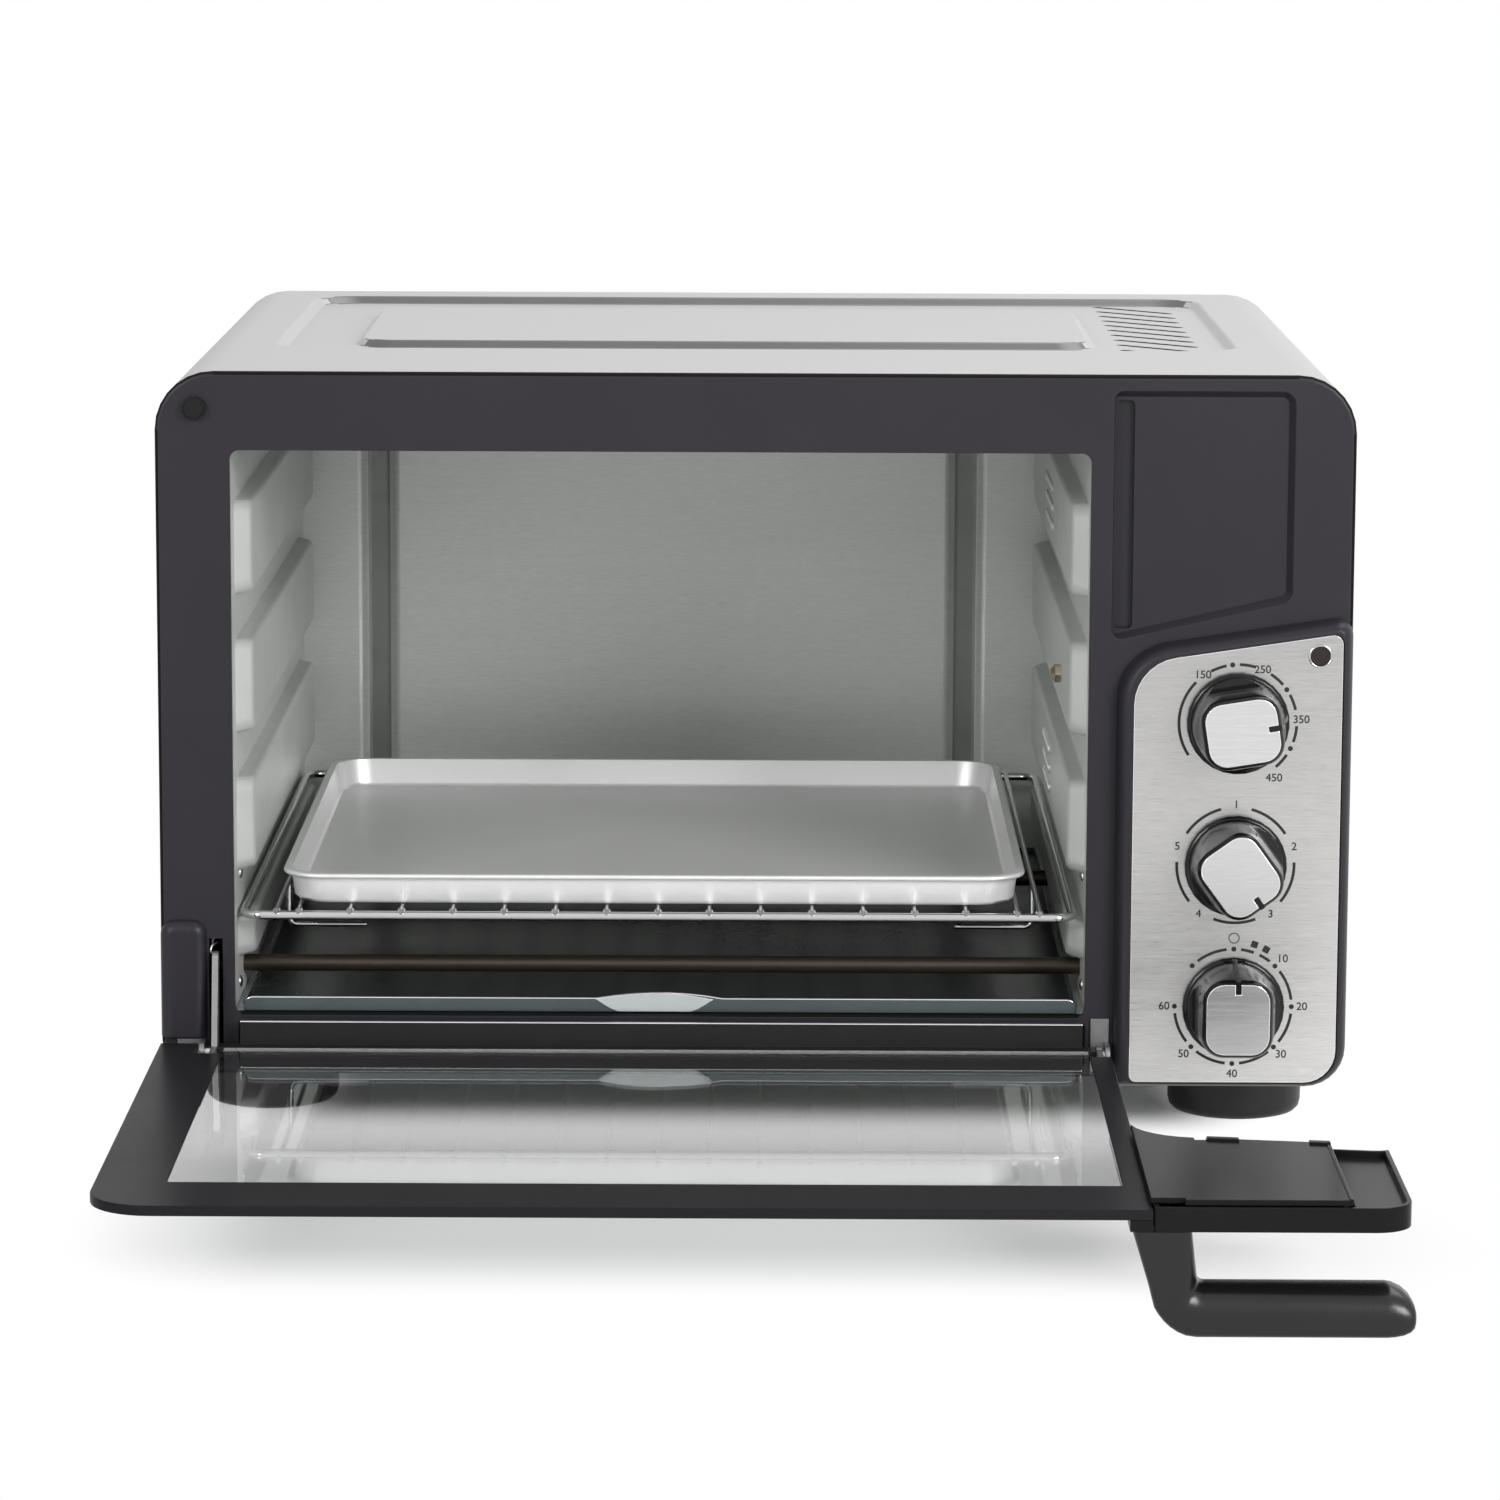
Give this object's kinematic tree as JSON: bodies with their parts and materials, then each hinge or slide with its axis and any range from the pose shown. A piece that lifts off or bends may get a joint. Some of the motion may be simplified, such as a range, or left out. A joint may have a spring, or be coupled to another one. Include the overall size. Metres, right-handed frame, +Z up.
{
  "type": "air fryer toaster oven",
  "caption": "Countertop convection oven with a drop-down glass door, a side wing with an L-shaped handle, turning knobs, a sliding rack, a pan and a crumb tray.",
  "frame": {"origin": "middle of the box of the oven with its door open, on the surface that the feet stand on", "axes": "+Z up, +Y from the door towards the back, +X to the right as seen from the front"},
  "size_m": [0.49, 0.6736, 0.328],
  "materials": {
    "shell": "satin silver-grey paint",
    "frame": "satin charcoal",
    "plate": "horizontal grain",
    "knob": "satin graphite",
    "lens": "dark red",
    "rubber": "black",
    "foot": "black",
    "cavity": "galvanised",
    "steel": "plain",
    "heater": "oxidised brown",
    "ceramic": "off-white",
    "unit": "plain",
    "rail": "black",
    "glass": "clear with a dark border",
    "chrome": "bright",
    "pan": "satin",
    "tray": "satin grey"
  },
  "bodies": {
    "oven": {"outer_shell": "shell", "front_frame": "frame", "control_plate": "plate", "indicator_lens": "lens", "door_bumper": "rubber", "cord_bush": "rubber", "foot_front_left": "foot", "foot_front_right": "foot", "foot_rear_left": "foot", "foot_rear_right": "foot", "rear_spacers": "foot", "left_wall": "cavity", "right_wall": "cavity", "cavity_ceiling": "cavity", "cavity_floor": "cavity", "rear_panel": "cavity", "base_plate": "cavity", "rear_screws": "steel", "foot_screws": "steel", "fan_housing": "steel", "hinge_bracket_left": "steel", "hinge_bracket_right": "steel", "hinge_pin_left": "steel", "hinge_pin_right": "steel", "door_spring": "steel", "spring_bracket": "steel", "heater_lower_front": "heater", "heater_lower_rear": "heater", "heater_upper_front": "heater", "heater_upper_rear": "heater", "heater_insulators": "ceramic", "thermostat": "unit", "mode_switch": "unit", "timer_unit": "unit", "fan_motor": "unit"},
    "door": {"hinge_arm_left": "steel", "hinge_arm_right": "steel", "hinge_rail": "rail", "door_glass": "glass", "flag_cover": "frame", "flag_plate": "frame", "door_handle": "frame"},
    "temp_control": {"temp_knob": "knob", "temp_cap": "plate", "temp_shaft": "steel"},
    "mode_control": {"mode_knob": "knob", "mode_cap": "plate", "mode_shaft": "steel"},
    "timer_control": {"timer_knob": "knob", "timer_cap": "plate", "timer_shaft": "steel"},
    "rack": {"wire_rack": "chrome", "rack_loops": "chrome"},
    "pan": {"baking_pan": "pan"},
    "tray": {"crumb_tray": "tray"},
    "fan": {"fan_blade": "steel", "fan_shaft": "steel"}
  },
  "joints": [
    {"name": "door_hinge", "type": "hinge", "parent": "oven", "child": "door", "pos_m": [0, -0.06025, 0.047], "axis": [-1, 0, 0], "range_deg": [0, 90], "deforming": ["door_spring"]},
    {"name": "temp_turn", "type": "hinge", "parent": "oven", "child": "temp_control", "pos_m": [0.1977, -0.06095, 0.1864], "axis": [0, 1, 0], "range_deg": [-208, 65]},
    {"name": "mode_turn", "type": "hinge", "parent": "oven", "child": "mode_control", "pos_m": [0.1977, -0.06095, 0.1272], "axis": [0, 1, 0], "range_deg": [-144, 144]},
    {"name": "timer_turn", "type": "hinge", "parent": "oven", "child": "timer_control", "pos_m": [0.1977, -0.06095, 0.068], "axis": [0, 1, 0], "range_deg": [-45, 270]},
    {"name": "rack_slide", "type": "slide", "parent": "oven", "child": "rack", "axis": [0, 1, 0], "range_m": [-0.36, 0]},
    {"name": "pan_slide", "type": "slide", "parent": "rack", "child": "pan", "axis": [0, 1, 0], "range_m": [-0.3, 0]},
    {"name": "tray_slide", "type": "slide", "parent": "oven", "child": "tray", "axis": [0, 1, 0], "range_m": [-0.37, 0]},
    {"name": "fan_spin", "type": "hinge", "parent": "oven", "child": "fan", "pos_m": [0.15, 0.14775, 0.1965], "axis": [1, 0, 0], "continuous": true}
  ]
}
